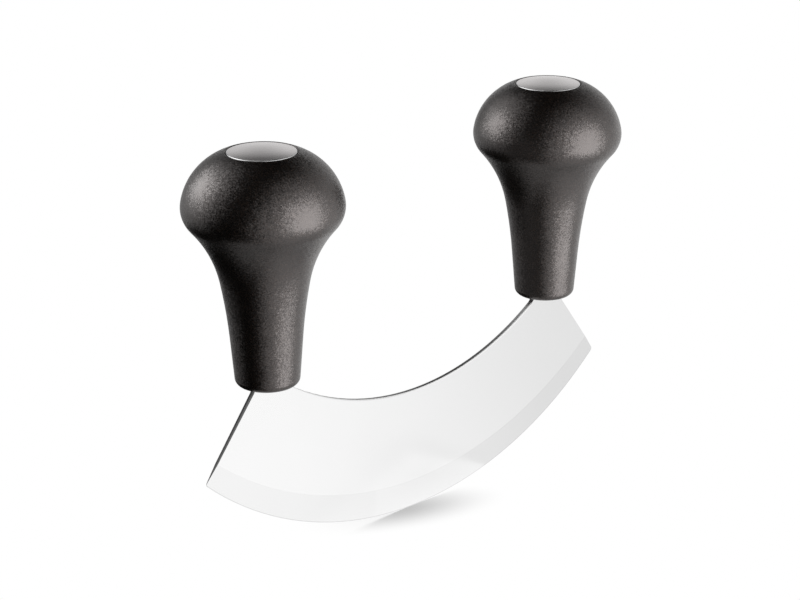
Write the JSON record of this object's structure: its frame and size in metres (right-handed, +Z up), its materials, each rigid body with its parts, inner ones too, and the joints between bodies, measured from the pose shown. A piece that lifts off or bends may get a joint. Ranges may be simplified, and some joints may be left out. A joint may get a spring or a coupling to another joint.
{
  "type": "mezzaluna",
  "caption": "Rocking herb chopper: a crescent steel blade with ground bevels along its curved edge, and an upright black knob handle topped by a domed metal disc at each end.",
  "frame": {"origin": "lowest point of the cutting edge, where the blade meets the board when it stands level", "axes": "+X along the blade, +Y across its thickness, +Z up to the handles"},
  "size_m": [0.15, 0.0433, 0.1179],
  "materials": {
    "blade_steel": "satin ground stainless steel",
    "handle_plastic": "moulded, fine spark-eroded grain",
    "cap_steel": "satin face, polished rim",
    "fastener_steel": "plain machined"
  },
  "bodies": {
    "root": {"blade": "blade_steel", "left_handle": "handle_plastic", "left_tang_stud": "fastener_steel", "left_washer": "fastener_steel", "left_nut": "fastener_steel", "left_cap": "cap_steel", "right_handle": "handle_plastic", "right_tang_stud": "fastener_steel", "right_washer": "fastener_steel", "right_nut": "fastener_steel", "right_cap": "cap_steel"}
  },
  "joints": []
}
